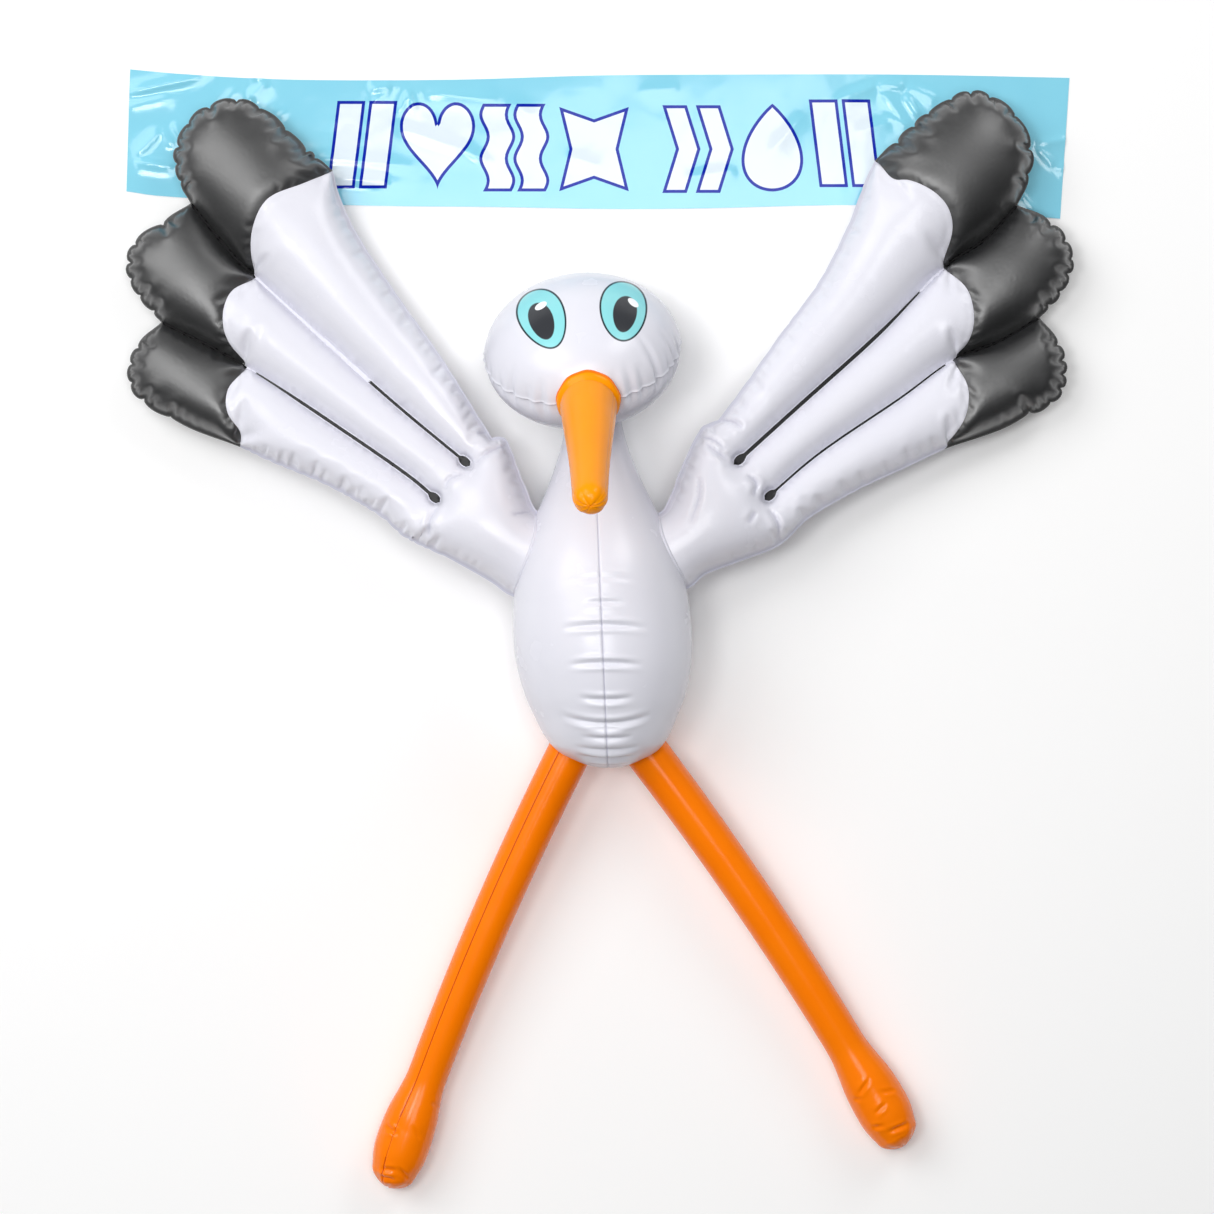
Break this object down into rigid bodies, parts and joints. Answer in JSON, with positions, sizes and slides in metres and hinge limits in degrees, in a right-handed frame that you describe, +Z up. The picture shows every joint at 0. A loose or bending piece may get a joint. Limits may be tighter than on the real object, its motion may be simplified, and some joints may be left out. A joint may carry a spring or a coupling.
{
  "type": "inflatable stork",
  "caption": "Blow-up vinyl stork with raised wings, long beak and long legs, lying on its back over a film banner held under its wing tips.",
  "frame": {"origin": "on the floor under the middle of the whole part as it lies on its back", "axes": "+Y from the feet to the head and banner, +Z up out of the belly, +X to the right seen from above with the head at the top"},
  "size_m": [1.3012, 1.5372, 0.4295],
  "materials": {
    "white_film": "welded glossy white vinyl film, drawn tight by the air inside",
    "orange_film": "welded glossy orange vinyl film",
    "black_film": "welded satin black vinyl film with a puckered rim",
    "banner_film": "thin glossy pale blue printed film, slightly crinkled"
  },
  "bodies": {
    "root": {"body": "white_film", "head": "white_film", "beak": "orange_film", "wing_left": "white_film", "wing_right": "white_film", "wing_tips_left": "black_film", "wing_tips_right": "black_film", "leg_left": "orange_film", "leg_right": "orange_film", "banner": "banner_film"}
  },
  "joints": []
}
